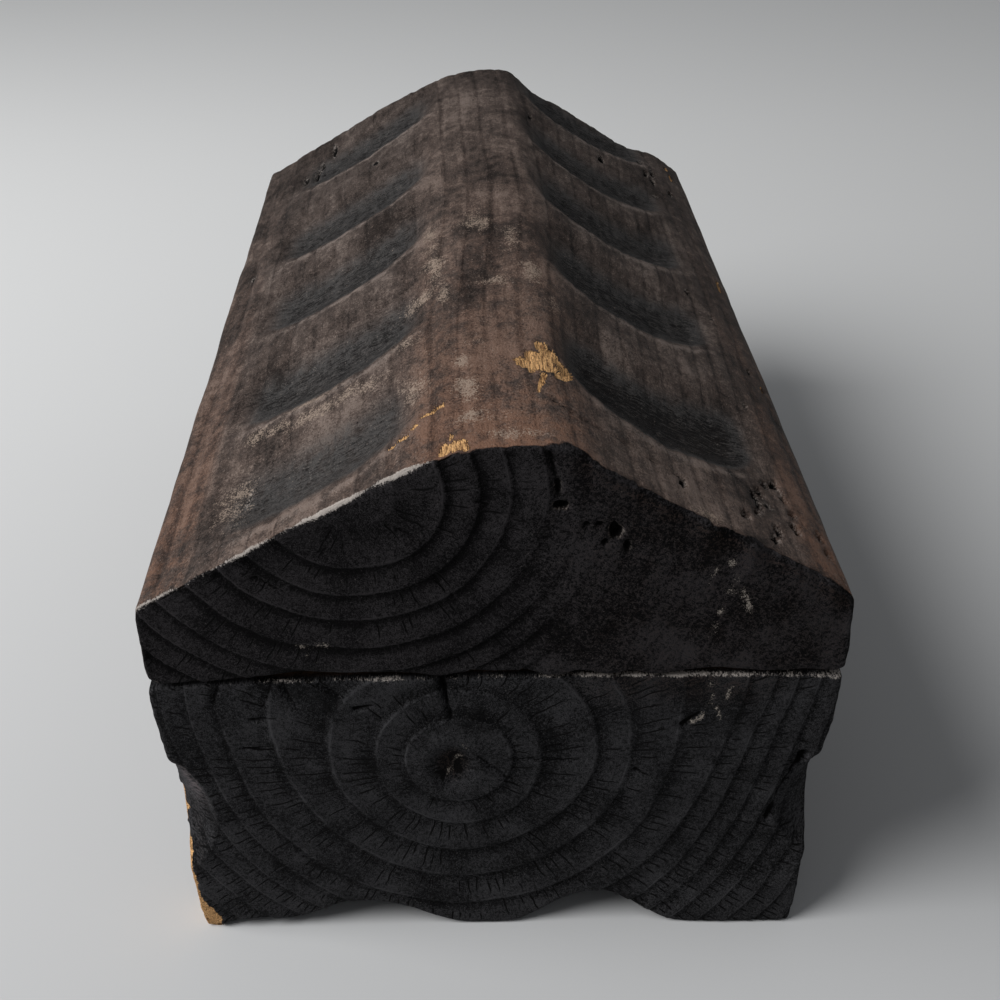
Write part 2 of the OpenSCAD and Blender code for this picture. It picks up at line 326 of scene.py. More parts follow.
class Shell:
    """Points, faces and outward directions of one block"""

    def __init__(self):
        self.points, self.outward, self.inside, self.faces, self.count = [], [], [], [], 0

    def add(self, points, outward, inside=OUTSIDE):
        """Adds an array of points and returns their numbers"""
        points = np.asarray(points, float)
        flat = points.reshape(-1, 3)
        self.points.append(flat)
        self.outward.append(np.broadcast_to(outward, points.shape).reshape(-1, 3))
        self.inside.append(np.full(len(flat), inside))
        ids = np.arange(self.count, self.count + len(flat)).reshape(points.shape[:-1])
        self.count += len(flat)
        return ids

    def rows(self, ids, closed=True):
        """Joins each row of points to the next one"""
        if closed:
            ids = np.hstack([ids, ids[:, :1]])
        quads = np.stack([ids[:-1, :-1], ids[:-1, 1:], ids[1:, 1:], ids[1:, :-1]], -1)
        self.faces += quads.reshape(-1, 4).tolist()

    def place(self, ids):
        return np.vstack(self.points)[ids]

    def fill(self, loops, spacing, height, outward, inside=OUTSIDE, axes=(0, 1)):
        """Fills the region inside the first loop and outside the others; height gives the third coordinate"""
        rims = [self.place(loop)[:, axes] for loop in loops]
        lo, hi = rims[0].min(0), rims[0].max(0)
        v = np.arange(lo[1], hi[1], spacing * ROW_SHARE)
        u = np.arange(lo[0], hi[0], spacing)
        grid = np.stack(np.meshgrid(u, v), -1)
        grid[1::2, :, 0] += spacing / 2
        grid = grid.reshape(-1, 2)
        grid = grid[within(grid, rims)]
        edge = np.vstack([np.vstack([r, (r + np.roll(r, -1, 0)) / 2]) for r in rims])
        parts = np.array_split(grid, 1 + len(grid) // 1500)
        clear = np.concatenate([np.sqrt(((part[:, None] - edge) ** 2).sum(-1)).min(1) for part in parts])
        grid = grid[clear > EDGE_SHARE * spacing]
        inner = np.empty((len(grid), 3))
        inner[:, axes], inner[:, 3 - sum(axes)] = grid, height(*grid.T)
        fresh = self.add(inner, outward, inside)
        numbers = np.concatenate(list(loops) + [fresh])
        flat = np.vstack(rims + [grid])
        edges, start = [], 0
        for r in rims:
            edges += [(start + i, start + (i + 1) % len(r)) for i in range(len(r))]
            start += len(r)
        found = delaunay_2d_cdt([Vector(q) for q in flat], edges, [], 0, 1e-6)
        back = np.array([o[0] for o in found[3]])
        triangles = back[np.array(found[2])]
        triangles = triangles[within(flat[triangles].mean(1), rims)]
        self.faces += numbers[triangles].tolist()
        return fresh


def within(p, outlines):
    """Which points lie inside an odd number of outlines"""
    odd = np.zeros(len(p), bool)
    for line in outlines:
        a, b = line, np.roll(line, -1, 0)
        for part in np.array_split(np.arange(len(p)), 1 + len(p) // 4000):
            x, y = p[part, 0, None], p[part, 1, None]
            spans = (a[:, 1] > y) != (b[:, 1] > y)
            rise = np.where(a[:, 1] == b[:, 1], 1, b[:, 1] - a[:, 1])
            cross = a[:, 0] + (y - a[:, 1]) * (b[:, 0] - a[:, 0]) / rise
            odd[part] ^= (spans & (x < cross)).sum(1) % 2 == 1
    return odd


# Points on each short side, each long side and each corner of the cavity
SHORT_COLS, LONG_COLS, ROUND_COLS = 22, 46, 7


def round_rect(half_x, half_y, r):
    """Points round a rectangle with round corners, from the front left, as (n, 2)"""
    t, s = (np.linspace(0, 1, n, endpoint=False)[:, None] for n in (SHORT_COLS, LONG_COLS))
    a = np.linspace(0, np.pi / 2, ROUND_COLS, endpoint=False)
    ex, ey = half_x - r, half_y - r
    turns = [a + q * np.pi / 2 for q in (3, 0, 1, 2)]
    arc = [r * np.column_stack([np.cos(turn), np.sin(turn)]) for turn in turns]
    front = np.array([(-ex, -half_y)]) + t * np.array([(2 * ex, 0)])
    right = np.array([(half_x, -ey)]) + s * np.array([(0, 2 * ey)])
    return np.vstack([front, arc[0] + (ex, -ey), right, arc[1] + (ex, ey), -front, arc[2] + (-ex, ey),
                      -right, arc[3] + (-ex, -ey)])


def inward(mouth):
    """Level directions into a cavity, from each point of its mouth"""
    way = -np.column_stack([mouth / np.abs(mouth).max(0), 0 * mouth[:, :1]])
    return way / np.linalg.norm(way, axis=1)[:, None]


# How far in from an outer edge its wear reaches
RIM_RUN = 3.0


def rim_wear(x, y, front, front_run, side, wave, sizes, seed):
    """How far a joint face is worn back near its outer edges; front says it for the front edge"""
    rear = (0.5 + 0.4 * along(x, 9, seed)) * np.exp(-(HALF_L - y) / RIM_RUN)
    left = (side + wave * along(y, sizes[0], seed + 1)) * np.exp(-(x + LID_X) / RIM_RUN)
    right = (side + wave * along(y, sizes[1], seed + 2)) * np.exp(-(LID_X - x) / RIM_RUN)
    return np.maximum(front, 0) * np.exp(-(y + HALF_L) / front_run) + rear + left + right


# Outward directions; the wood of the sockets has no relief
UP, DOWN, STILL = (0, 0, 1), (0, 0, -1), (0, 0, 0)

# Base: the joint edge and the scalloped foot edge, by the distance along each side
BASE_EDGE = (
    (-58, 60.1), (-52, 60.4), (-37, 60.7), (-24, 60.9), (-10, 60.95), (10, 60.85), (24, 60.8), (30, 60.7),
    (45, 60.35), (52, 60.1), (58, 59.7),
)
FRONT_FOOT = (
    (-58, 1.4), (-56, 0.3), (-54, 0), (-51.5, 1.2), (-48, 2.3), (-43, 2.5), (-38, 2.7), (-34, 4.2),
    (-30, 6.2), (-26, 6.9), (-21, 6.4), (-16, 4.6), (-11, 2.1), (-6, 0.5), (-1, 0), (3, 0.6), (7, 2.8),
    (12, 6.2), (17, 8.1), (21, 7.9), (25, 5.6), (29, 2.8), (33, 0.8), (38, 0), (46, 0), (54, 0.1),
    (58, 0.7),
)
# Half width of the base, by height
BASE_SIDE = (
    (0, 56), (3, 56.5), (10, 57), (20, 57.7), (32, 58.1), (43, 57.9), (47, 58.3), (52, 58.9), (57, 59.1),
    (61, 58.9),
)
SIDE_ARCHES = (-64.5, -21.5, 21.5, 64.5)
END_ARCHES = (-21.5, 21.5)
ARCH_HALF, ARCH_H, ARCH_IN = 14.5, 7.6, 18.0
# How far the right front foot stands forward
FOOT_FLARE = 1.6


def arches(t, centres, seed):
    """Lower edge of a scalloped side"""
    wander = 0.8 * along(t, 30, seed)
    total = 0 * t
    for i, c in enumerate(centres):
        v = np.clip((t - c + wander) / ARCH_HALF, -1, 1)
        total = total + (ARCH_H + 0.5 * math.sin(2.3 * i + seed)) * np.cos(v * np.pi / 2) ** 1.3
    return total


def foot_z(x, y):
    """Height of the underside: each arch runs out inward"""
    rate = ARCH_H / ARCH_IN
    front = curve(FRONT_FOOT, x) - rate * (y + HALF_L)
    rear = arches(x, END_ARCHES, 3) - rate * (HALF_L - y)
    left = arches(y, SIDE_ARCHES, 5) - rate * (x + FOOT_X)
    right = arches(y, SIDE_ARCHES, 8) - rate * (FOOT_X - x)
    return np.maximum.reduce([front, rear, left, right, 0 * x])


def rim_z(x, y):
    """Height of the base's joint face, worn down towards its outer edges"""
    return BASE_RIM - rim_wear(x, y, JOINT_Z - curve(BASE_EDGE, x), RIM_RUN, 0.45, 0.4, (13, 11), 21)


# Corner notches: height of the middle, half height and depth, from the front right round to the front left
NOTCHES = ((30.6, 12.4, 6.8), (30, 13.8, 6.4), (29.4, 13.5, 6.7), (30.4, 14.2, 6.3))
# How far every corner is cut at least
CORNER_CUT = 1.1
# Columns of points on each side and round each corner
FRONT_COLS, SIDE_COLS, REAR_COLS, CORNER_COLS = 224, 150, 110, 8


def outline(half_x, half_y, cuts):
    """Rows of points round the base: (rows, n, 2), and the way out for each column: (n, 2)"""
    parts, ways = [], []
    for i, count in enumerate((FRONT_COLS, SIDE_COLS, REAR_COLS, SIDE_COLS)):
        (sx, sy), (tx, ty) = CORNERS[i], CORNERS[(i + 1) % 4]
        ahead = np.array([(tx - sx) / 2, (ty - sy) / 2])
        out = np.array([ahead[1], -ahead[0]])
        a = np.stack([sx * half_x, sy * half_y], -1) + cuts[:, (i - 1) % 4, None] * ahead
        corner = np.stack([tx * half_x, ty * half_y], -1)
        cut = cuts[:, i, None]
        b = corner - cut * ahead
        t = np.linspace(0, 1, count, endpoint=False)[None, :, None]
        parts.append(a[:, None] * (1 - t) + b[:, None] * t)
        ways.append(np.tile(out, (count, 1)))
        t = np.linspace(0, 1, CORNER_COLS, endpoint=False)[None, :, None]
        bulge = 0.29 * cut * (1 - smooth(1.5, 3.5, cut)) / math.sqrt(2)
        arc = b[:, None] * (1 - t) + (corner - cut * out)[:, None] * t
        parts.append(arc + np.sin(np.pi * t) * bulge[:, None] * (ahead + out))
        ways.append(np.cos(t[0] * np.pi / 2) * out + np.sin(t[0] * np.pi / 2) * ahead)
    return np.concatenate(parts, 1), np.vstack(ways)


def build_base():
    shell = Shell()
    z = np.concatenate([[0, 0.2, 0.5, 0.85], np.arange(1.3, 59.6, 0.53), [60, 60.35, 60.65, 60.88, JOINT_Z]])
    foot = quarter(0.9, 0.9 - z)
    brow = quarter(1.4, z - JOINT_Z + 1.4)
    lip = quarter(0.7, z - JOINT_Z + 0.7)
    half_x = curve(BASE_SIDE, z) - foot - brow
    half_y = HALF_L - 0.3 - foot - lip
    cuts = [CORNER_CUT + d * np.clip(1 - ((z - mid) / half) ** 2, 0, None) ** 1.1 for mid, half, d in NOTCHES]
    flat, way = outline(half_x, half_y, np.stack(cuts, 1))
    low = foot_z(flat[0, :, 0], flat[0, :, 1])
    high = rim_z(flat[-1, :, 0], flat[-1, :, 1])
    height = low + (high - low) * z[:, None] / JOINT_Z
    flare = smooth(18, 46, flat[..., 0]) * (1 - smooth(1, 26, height)) * (flat[..., 1] < -90)
    flat[..., 1] -= FOOT_FLARE * flare
    walls = shell.add(np.dstack([flat, height]), np.hstack([way, 0 * way[:, :1]]))
    shell.rows(walls)
    shell.fill([walls[0]], PLAIN_STEP, foot_z, DOWN)

    # The cavity, with a soft edge at its mouth and a round one at its floor
    depth = np.array([0, 0.15, 0.5, 1, 2, 4, 7, 11, 16, 22, 28, 34, 39, 43, 45.2, 46.4, 46.85])
    grow = quarter(0.6, 0.6 - depth) - quarter(2.2, depth - 44.65)
    rows = []
    for d, wider in zip(depth, grow):
        ring = round_rect(CAVITY[0] + wider, CAVITY[1] + wider, CAVITY[2])
        rows.append(np.column_stack([ring, np.full(len(ring), BASE_RIM - d)]))
    cavity = shell.add(np.array(rows), inward(round_rect(*CAVITY)), INSIDE)
    shell.rows(cavity)
    shell.fill([walls[-1], cavity[0]], JOINT_STEP, rim_z, UP, JOINT)
    shell.fill([cavity[-1]], PLAIN_STEP, lambda x, y: FLOOR_Z, UP, INSIDE)
    return shell


# Lid: the roof's height and the lower edge of the front end, by the distance from the middle
ROOF = (
    (-59, 76.8), (-57, 77.9), (-50, 82), (-44.6, 85.1), (-38, 89), (-30.8, 93.2), (-23, 97.6),
    (-13.8, 102.6), (-6.2, 105.3), (0, 106.2), (5, 106.45), (9, 106.1), (12, 105), (15, 103.1), (20, 99.8),
    (26, 96.1), (32, 92.4), (40, 88), (46, 84.6), (52, 81.2), (55, 79.3), (57, 77.7), (59, 75.6),
)
LID_EDGE = (
    (-58, 61.1), (-52, 61.4), (-45, 62), (-38, 62.8), (-32, 63.4), (-26, 63), (-20, 62.6), (-14, 62.4),
    (-9.6, 61.9), (-7, 62.5), (-1, 62.7), (4.6, 62.8), (9.6, 61.5), (13.8, 62.6), (18.5, 61.7),
    (22.5, 62.3), (27, 61.5), (32, 62.2), (37, 62.6), (42, 62), (47, 61.6), (52, 61.9), (58, 61.3),
)
# Crests in front of the hollows, as distances from the front end, and how far back each runs down the slope
LEFT_CRESTS, RIGHT_CRESTS = (5, 41, 82.5, 121, 170, 212), (19, 66, 107, 143.5, 181, 221)
LEFT_BEND = ((-6, 12), (0, 8), (6, 4.6), (12, 2), (20, 0.3), (28, 0), (36, 1), (42, 3), (50, 7))
RIGHT_BEND = ((-6, 13), (-2, 9.5), (3, 5.5), (10, 1.8), (18, 0), (28, 1.4), (36, 5), (42, 10), (50, 18))
# Depth of a hollow, and its greatest length along the box
HOLLOW_D, HOLLOW_SPAN = 2.7, 38.0


def slope_place(x):
    """Distance down the slope from the shoulder of the ridge"""
    return (np.abs(x) - SHOULDER_X) / SLOPE_RUN


def hollows(x, y):
    """Depth of the gouged hollows, how much a point lies on a floor, and how near it is to a crest"""
    s = slope_place(x)
    deep, floor, crest = 0 * s, 0 * s, 0 * s
    for side, crests, bend in ((-1, LEFT_CRESTS, LEFT_BEND), (1, RIGHT_CRESTS, RIGHT_BEND)):
        here = (x * side > 0).astype(float)
        back = y + HALF_L - curve(bend, s) + 1.1 * noise(np.stack([x, 0 * x, y], 1), 16, 31 + side)
        reach = smooth(-4, 9, s) * (1 - smooth(34, 47, s)) * here
        for i, (a, b) in enumerate(zip(crests, crests[1:])):
            t = back - a
            span = min(HOLLOW_SPAN, b - a)
            strength = 0.8 if i == 0 and side < 0 else 1
            # How dark each floor is painted: darker on the right slope, which faces away from the lamp, as
            # painted shade
            dark = 0.95 if side < 0 else 1.65 if i == 0 else 1.15
            deep = deep + HOLLOW_D * strength * smooth(-1.5, 12, t) * (1 - smooth(15, span, t)) * reach
            floor = floor + strength * dark * smooth(0, 6, t) * (1 - smooth(14, 32, t)) * reach ** 1.3
            crest = np.maximum(crest, strength * bell(t + 0.3, 1.2) * reach)
    return deep, floor, crest


def lid_rim(x, y):
    """Height of the lid's joint face, worn up towards its outer edges"""
    return LID_RIM + rim_wear(x, y, curve(LID_EDGE, x) - JOINT_Z, 3.5, 0.3, 0.25, (12, 10), 41)


def ragged(x, end):
    """How far the upper edge of an end is broken back"""
    if end < 0:
        torn = 0.8 + 0.7 * along(x, 2.6, 52) + 0.35 * along(x, 0.9, 56)
        return 0.12 + 0.1 * along(x, 4, 51) + smooth(8, 18, x) * torn
    return 0.7 + 0.6 * along(x, 11, 53) + 0.4 * along(x, 4, 54)


# Radius of the lower edge of each long side of the lid
TOE_R = 1.2


def lid_profile():
    """Outline of the lid across the box, from the left lower edge over the ridge, and the way out"""
    a = np.linspace(-np.pi / 2, -np.pi, 7)[:, None]
    toe = np.array([(-LID_X + TOE_R, JOINT_Z + TOE_R)]) + TOE_R * np.hstack([np.cos(a), np.sin(a)])
    x = np.linspace(-58, 57.2, 1200)
    top = np.column_stack([x, curve(ROOF, x)])
    t = np.linspace(0, 1, 12)[:, None]
    eaves = []
    for side, tip, drop in ((-1, top[0], 1.8), (1, top[-1], 3.4)):
        start, bend = (np.array([side * LID_X, tip[1] - share * drop]) for share in (1, 0.35))
        eaves.append(start * (1 - t) ** 2 + 2 * bend * t * (1 - t) + tip * t * t)
    line = np.vstack([toe, eaves[0][:-1], top, eaves[1][-2::-1], toe[::-1] * (-1, 1)])
    way = np.gradient(line, axis=0)
    way = np.column_stack([-way[:, 1], way[:, 0]]) / np.linalg.norm(way, axis=1)[:, None]
    length = np.concatenate([[0], np.cumsum(np.linalg.norm(np.diff(line, axis=0), axis=1))])
    # Points lie closest on the roof and at the two lower edges
    side_l, all_l = length[len(toe) + 6], length[-1]
    stops = (0, 2.4, side_l, all_l - side_l, all_l - 2.4, all_l)
    spans = [np.linspace(*ends, n, endpoint=False) for *ends, n in zip(stops, stops[1:], (5, 12, 228, 12, 5))]
    places = np.concatenate(spans + [[all_l]])
    pick = [np.interp(places, length, c) for c in (line[:, 0], line[:, 1], way[:, 0], way[:, 1])]
    return np.column_stack(pick[:2]), np.column_stack(pick[2:])


def close_end(shell, roof, y_end, spacing):
    """Closes one end of the lid, down to its wavy lower edge; returns the points of that edge"""
    side = math.copysign(1, y_end)
    tips = shell.place(roof[[0, -1]])
    count = int((tips[1, 0] - tips[0, 0]) / spacing)
    x = np.linspace(tips[1, 0], tips[0, 0], count)[1:-1]
    edge = shell.add(np.column_stack([x, 0 * x + y_end, lid_rim(x, 0 * x + y_end)]), (0, side, 0))

    def face(x, z):
        return y_end - side * ragged(x, side) * np.exp(-(curve(ROOF, x) - z) / 3)

    shell.fill([np.concatenate([roof, edge])], spacing, face, (0, side, 0), axes=(0, 2))
    return edge


def vault_z(x):
    """Height of the vault inside the lid"""
    return VAULT_Z + np.sqrt(VAULT_R ** 2 - x ** 2)


SOCKET_COLS = 36


def build_lid():
    shell = Shell()
    profile, way = lid_profile()
    near = np.array([0, 0.22, 0.5, 0.85, 1.3, 1.9, 2.6])
    body = np.linspace(3.4, 2 * HALF_L - 3.4, 232)
    d = np.concatenate([near, body, 2 * HALF_L - near[::-1]])
    x, z, out_x, out_z = np.tile(np.hstack([profile, way]), (len(d), 1)).T
    y = np.repeat(d, len(profile)) - HALF_L
    gap = np.minimum(y + HALF_L, HALF_L - y)
    round_off = quarter(0.6, 0.6 - gap)
    sink = hollows(x, y)[0] * smooth(EAVE_Z, EAVE_Z + 2, z) + round_off
    low = (lid_rim(x, y) - JOINT_Z) * (1 - smooth(JOINT_Z, 74, z))
    shift = np.where(y < 0, ragged(x, -1), -ragged(x, 1)) * np.exp(-gap / 3) * smooth(70, 76, z)
    points = np.column_stack([x - out_x * sink, y + shift, z - out_z * sink + low])
    outward = np.column_stack([out_x, 0 * x, out_z])
    roof = shell.add(points.reshape(len(d), -1, 3), outward.reshape(len(d), -1, 3))
    shell.rows(roof, closed=False)
    front = close_end(shell, roof[0], -HALF_L, FRONT_STEP)
    rear = close_end(shell, roof[-1], HALF_L, REAR_STEP)

    # The vault rises from the same outline as the cavity
    mouth = round_rect(*CAVITY)
    rise = vault_z(mouth[:, 0]) - LID_RIM
    climb = (0, 0.03, 0.08, 0.16, 0.28, 0.42, 0.58, 0.75, 0.88, 1)
    rows = [np.column_stack([mouth, LID_RIM + rise * share]) for share in climb]
    vault = shell.add(np.array(rows), inward(mouth), INSIDE)
    shell.rows(vault)
    shell.fill([vault[-1]], PLAIN_STEP, lambda x, y: vault_z(x), DOWN, INSIDE)

    a = np.linspace(0, 2 * np.pi, SOCKET_COLS, endpoint=False)
    circle = SOCKET_R * np.column_stack([np.cos(a), np.sin(a)])
    mouths = []
    for y_peg in (-PEG_Y, PEG_Y):
        heights = (LID_RIM, JOINT_Z + 0.5, 64, 67, SOCKET_TOP)
        walls = [np.column_stack([circle + (0, y_peg), np.full(SOCKET_COLS, height)]) for height in heights]
        socket = shell.add(np.array(walls), STILL, INSIDE)
        shell.rows(socket)
        shell.fill([socket[-1]], SOCKET_STEP, lambda x, y: SOCKET_TOP, STILL, INSIDE)
        mouths.append(socket[0])
    rim = np.concatenate([front[::-1], roof[:, -1], rear, roof[::-1, 0]])
    shell.fill([rim, vault[0]] + mouths, JOINT_STEP, lid_rim, DOWN, JOINT)
    return shell


# Fine shape and marks: how far each point moves out, and the named marks that the materials read

# Strength of the pale line along the base's front joint edge and the lid's front rim, by x: worn wood and a
# painted highlight
BASE_EDGE_WEAR_AND_HIGHLIGHT = ((-60, 0.15), (-38, 0.55), (-10, 0.65), (10, 0.6), (18, 0.8), (40, 0.85), (60, 0.75))
LID_RIM_WEAR_AND_HIGHLIGHT = ((-60, 1.1), (-40, 1.3), (-12, 1.2), (0, 0.4), (20, 0.35), (60, 0.4))
# Marks that a block may leave out. A hole or crack is given as the distance outside its edge.
PLAIN_MARKS = dict(hole=FAR, floor=0.0, crest=0.0, scuff=0.0, facet_sheen=0.0)


def wood_skin(p, out, inside, rings, shown, seed):
    """Relief of the wood itself: rings on the end grain, fibres along the other sides, tool marks inside"""
    end = out[:, 1] ** 4
    fibres = 0.08 * noise(p, (1.3, 26, 1.3), seed) + 0.05 * noise(p, (0.8, 9, 0.8), seed + 1)
    f = rings - np.floor(rings)
    fibres = fibres - 0.14 * bell(f - 0.12, 0.1) + 0.16 * fractal(p, (6, 13, 6), seed + 2)
    grain = ring_relief(rings) * shown * (0.8 + 0.55 * noise(p, 13, seed + 3))
    grain = grain + 0.06 * fractal(p, (1.3, 5, 1.3), seed + 4) + 0.25 * noise(p, 14, seed + 5)
    tools = 0.12 * noise(p, (6, 14, 6), seed + 6) + 0.04 * noise(p, (1.2, 12, 1.2), seed + 7)
    tools = tools * (inside == INSIDE) + 0.03 * noise(p, (1, 15, 1), seed + 8)
    return np.where(inside == OUTSIDE, end * grain + (1 - end) * fibres, tools)


def end_shares(p, out, inside):
    """How much a point belongs to the front end's face and to the rear one's"""
    facing = out[:, 1] ** 2 * (inside == OUTSIDE)
    return (p[:, 1] < 0) * facing, (p[:, 1] > 0) * facing


def base_marks(p, out, inside):
    x, y, z = p.T
    outer = inside == OUTSIDE
    rings = ring_number(p, BASE_PITH, BASE_RINGS)
    front, rear = end_shares(p, out, inside)
    crack, dug = all_cracks((x, z, front, BASE_CRACKS), (x, z, rear, REAR_CRACKS))
    # The dent at the pith, with rotten wood in it
    pit = np.hypot((x - BASE_PITH[0]) / 4.6, (z - BASE_PITH[1]) / 6)
    rot = np.where(front > 0.5, 1.1 * (pit - 0.3) + 0.8 * fractal(p, 1.4, 124), FAR)
    pit_dug = front * (1.1 * (1 - smooth(0.25, 1.0, pit)) - 0.2 * bell(pit - 1.1, 0.2))
    # Bare wood up the outer edge of the left front corner
    bare = curve(FOOT_CHIP, z) - (x + curve(BASE_SIDE, z))
    bare = np.minimum(bare, 8.5 + 1.5 * along(z, 4, 119) - (y + HALF_L))
    chip = np.clip(0.5 + (bare + 0.7 * fractal(p, 2.2, 120)) / 1.4, 0, 1.5) * (z < 33) * outer
    # A pale line along the joint edge, stronger along the front: worn wood and a painted highlight where the
    # edge catches the light
    edge = bell(rim_z(x, y) - z, 0.45) * outer
    front_edge = curve(BASE_EDGE_WEAR_AND_HIGHLIGHT, x) * (1 + 0.45 * along(x, 2.5, 123))
    edge = edge * np.where(y < -HALF_L + 3, front_edge, 0.45)
    # Brown tinges: under the right of the joint, at the pith and along the left edge
    tint = 0.8 * smooth(8, 24, x) * (1 - smooth(40, 54, x)) * smooth(52, 60, z) + (1 - smooth(0.3, 0.8, pit))
    tint = tint + 0.8 * bell(z - 27, 9) * (1 - smooth(3, 6, x + LID_X))
    charred = 1 - smooth(2, 24, HALF_L - np.abs(y) + 8 * fractal(p, 9, 122))
    # The left front notch facet gets lighter purple-grey streaks: a painted sheen where it faces the lamp
    facet_sheen = 4 * out[:, 0] ** 2 * out[:, 1] ** 2 * (x < 0) * (y < 0) * bell(z - 37.5, 5)
    move = wood_skin(p, out, inside, rings, 1.0, 100)
    move = move - dug - pit_dug - 0.4 * smooth(0.4, 0.6, chip)
    return move, dict(
        ring=rings, crack=np.minimum(crack, rot), chip=chip, edge=edge, worn=0.2,
        pale=fibres_near(x, z, BASE_FIBRES) * front, shown=smooth(0.3, 0.8, out[:, 1] ** 2), russet=0.3,
        warm=np.clip(tint, 0, 1) * front, charred=charred, facet_sheen=facet_sheen)


def lid_marks(p, out, inside):
    x, y, z = p.T
    far = y + HALF_L
    plan = np.column_stack([x, far])
    s = slope_place(x)
    rings = ring_number(p, LID_PITH, LID_RINGS)
    floor, crest = hollows(x, y)[1:]
    roof = smooth(0.25, 0.6, out[:, 2]) * (inside == OUTSIDE)
    shown = 1 - 0.8 * smooth(-4, 14, x)
    front, rear = end_shares(p, out, inside)
    crack, crack_dug = all_cracks(
        (x, z, front, LID_CRACKS), (x, z, rear, REAR_CRACKS), (x, far, roof, ROOF_CRACKS))
    hole, dug = hole_edges(p[:, [0, 2]], END_HOLES, 238)
    hole, dug = np.where(front > 0.5, hole, FAR), dug * (front > 0.5)
    for side, holes in ((-1, LEFT_HOLES), (1, RIGHT_HOLES)):
        near, deep_here = hole_edges(np.column_stack([far, s]), holes, 239)
        here = (roof > 0.4) & (x * side > 0)
        hole = np.where(here, near, hole)
        dug = np.where(here, deep_here, dug)
    chip = blots(plan, TOP_CHIPS, 240, 1.5, 0.26) * (roof > 0)
    chip = np.maximum(chip, blots(np.column_stack([far, z]), EAVE_CHIPS, 241, 2.2) * ((x > 50) & (roof > 0)))
    splinters = np.abs(noise(p, (0.8, 3.5, 0.8), 242))
    # The pale line along the rim of each gable: worn wood and a painted highlight, stronger on the left,
    # which faces the lamp
    below = np.maximum(curve(ROOF, x) - z, 0)
    gap = np.maximum(np.minimum(far, 2 * HALF_L - far), 0)
    rim = bell(gap, 0.8) * bell(below, 0.75) * (0.85 + 0.55 * along(x, 5, 59))
    rim = rim * np.where(y < 0, curve(LID_RIM_WEAR_AND_HIGHLIGHT, x), 0.6)
    # Wear and colour of the roof: lighter on the crown, lighter towards the front end and darker towards the
    # rear, and painted light that lifts the right slope, which faces away from the lamp
    crown = 1 - smooth(-3, 9, s)
    grain_line = np.min([near_line(x, far, line, 0.4)[0] for line in ROOF_GRAIN], 0)
    worn = 0.1 * crown + 0.14 * np.exp(-far / 35) + 0.45 - 0.06 * far / HALF_L + 0.08 * smooth(8, 16, x)
    burnt = bell(far, 2.2) * smooth(6, 16, x) * (1 + 0.6 * along(x, 4, 57))
    worn = np.clip(worn - 0.25 * bell(grain_line, 0.9) - 0.5 * burnt, 0, 1)
    russet = np.clip(0.9 * crown + 0.8 * smooth(44, 48, s) + 0.25, 0, 1) * np.exp(-far / 80) * roof
    scorched = (1 - smooth(0.3, 1.9, far + 1.5 * fractal(p, 3, 58))) * smooth(2, 12, x) * roof
    rough_rim = bell(below + 0.6 * along(x, 3, 55), 2.6) * smooth(8, 18, x)
    move = wood_skin(p, out, inside, rings, 1.4 * shown * smooth(0.3, 1.8, rings), 200)
    move = move + roof * floor * 0.14 * noise(np.column_stack([s, far, 0 * s]), (5, 2.2, 1), 230)
    move = move - dug - crack_dug - smooth(0.45, 0.62, chip) * (0.4 + 0.35 * splinters)
    return move, dict(
        ring=rings, crack=crack, hole=hole, chip=chip,
        pale=fibres_near(x, z, LID_FIBRES) * front, shown=shown, floor=floor * roof, crest=crest * roof,
        edge=np.maximum(rim, 0.3 * bell(z - JOINT_Z, 1.0)) * (inside == OUTSIDE),
        worn=worn * roof + 0.15 * (1 - roof), scuff=blots(plan, SCUFFS, 244, 4.0, 0.45) * roof,
        warm=np.clip(rough_rim + 0.4 * smooth(0, 22, x), 0, 1) * front, charred=scorched, russet=russet)


def make_block(name, shell, marks, body, material):
    """Turns a shell into the piece that stands for the CAD node of this name"""
    p, out, inside = np.vstack(shell.points), np.vstack(shell.outward), np.concatenate(shell.inside)
    move, given = marks(p, out, inside)
    # The feet stay on the floor
    grounded = np.abs(p[:, 2]) < 0.02
    p = p + out * np.where(grounded, 0, move)[:, None]
    p[:, 2] = np.maximum(p[:, 2], 0)
    mesh = bpy.data.meshes.new(name)
    mesh.from_pydata((p * MM).tolist(), [], shell.faces)
    shape = bmesh.new()
    shape.from_mesh(mesh)
    bmesh.ops.recalc_face_normals(shape, faces=shape.faces)
    shape.to_mesh(mesh)
    shape.free()
    mesh.shade_smooth()
    normals = np.zeros(len(mesh.vertices) * 3, np.float32)
    mesh.vertices.foreach_get("normal", normals)
    fields = dict(PLAIN_MARKS, inside=inside, **given)
    charred = fields.pop("charred") * (inside == OUTSIDE)
    fields["end"] = np.maximum(smooth(0.5, 0.85, np.abs(normals[1::3])), charred)
    for field, values in fields.items():
        values = np.array(np.broadcast_to(values, len(p)), np.float32)
        mesh.attributes.new(field, "FLOAT", "POINT").data.foreach_set("value", values)
    piece = bpy.data.objects.new(name, mesh)
    scene.collection.objects.link(piece)
    mesh.materials.append(material)
    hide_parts(body)
    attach(piece, body)
    return piece


# Materials

class Value:
    """A number that varies over a surface: an output of a material's node, with arithmetic"""

    def __init__(self, graph, socket):
        self.graph, self.socket = graph, socket

    def __add__(self, other):
        return self.graph.math("ADD", self, other)

    def __sub__(self, other):
        return self.graph.math("SUBTRACT", self, other)

    def __rsub__(self, other):
        return self.graph.math("SUBTRACT", other, self)

    def __mul__(self, other):
        return self.graph.math("MULTIPLY", self, other)

    __radd__, __rmul__ = __add__, __mul__

    def swing(self, amount):
        """A number from 0 to 1, made to swing about 0"""
        return (self - 0.5) * amount


